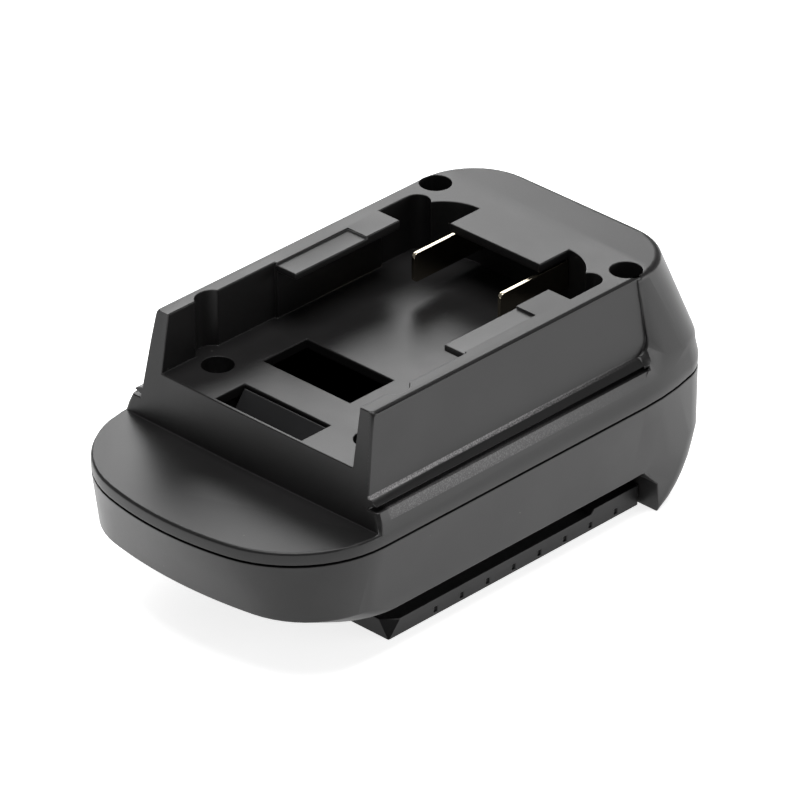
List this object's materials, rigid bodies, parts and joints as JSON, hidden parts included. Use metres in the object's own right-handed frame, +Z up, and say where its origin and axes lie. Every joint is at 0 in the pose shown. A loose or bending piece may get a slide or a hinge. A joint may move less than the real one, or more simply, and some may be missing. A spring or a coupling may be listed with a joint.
{
  "type": "tool battery adapter",
  "caption": "Black moulded slide adapter with a battery bay and contact blades on top, slide rails below and a sprung release latch in the rear chin.",
  "frame": {"origin": "centre of the footprint at the underside of the rails", "axes": "+Z up through the battery bay, +Y from the front flange to the rear chin, +X to the right seen from the front flange"},
  "size_m": [0.0688, 0.122, 0.0522],
  "materials": {
    "shell": "fine-textured satin black",
    "rail": "satin black",
    "carrier": "satin black",
    "button": "satin black",
    "plated_contact": "bright plated",
    "screw_steel": "zinc plated",
    "spring_steel": "drawn wire",
    "red_lead": "smooth",
    "black_lead": "smooth",
    "sleeve": "shrunk tube"
  },
  "bodies": {
    "housing": {"upper_shell": "shell", "lower_shell": "shell", "rail_left": "rail", "rail_right": "rail", "housing_screws": "screw_steel", "rail_screws": "screw_steel", "positive_blade": "plated_contact", "negative_blade": "plated_contact", "blade_carrier": "carrier", "carrier_screws": "screw_steel", "positive_receptacle": "plated_contact", "negative_receptacle": "plated_contact", "receptacle_holder": "carrier", "receptacle_screws": "screw_steel", "positive_lead": "red_lead", "negative_lead": "black_lead", "lead_sleeves": "sleeve", "catch_bracket": "carrier", "bracket_screws": "screw_steel", "latch_spring_left": "spring_steel", "latch_spring_right": "spring_steel", "spring_retainer": "carrier", "retainer_screws": "screw_steel"},
    "latch": {"latch_slide": "carrier", "release_button": "button"}
  },
  "joints": [
    {"name": "latch_lift", "type": "slide", "parent": "housing", "child": "latch", "axis": [0, 0, 1], "range_m": [0, 0.0045], "stiffness_N_per_m": 600, "springref_m": -0.004, "deforming": ["latch_spring_left", "latch_spring_right"]}
  ]
}
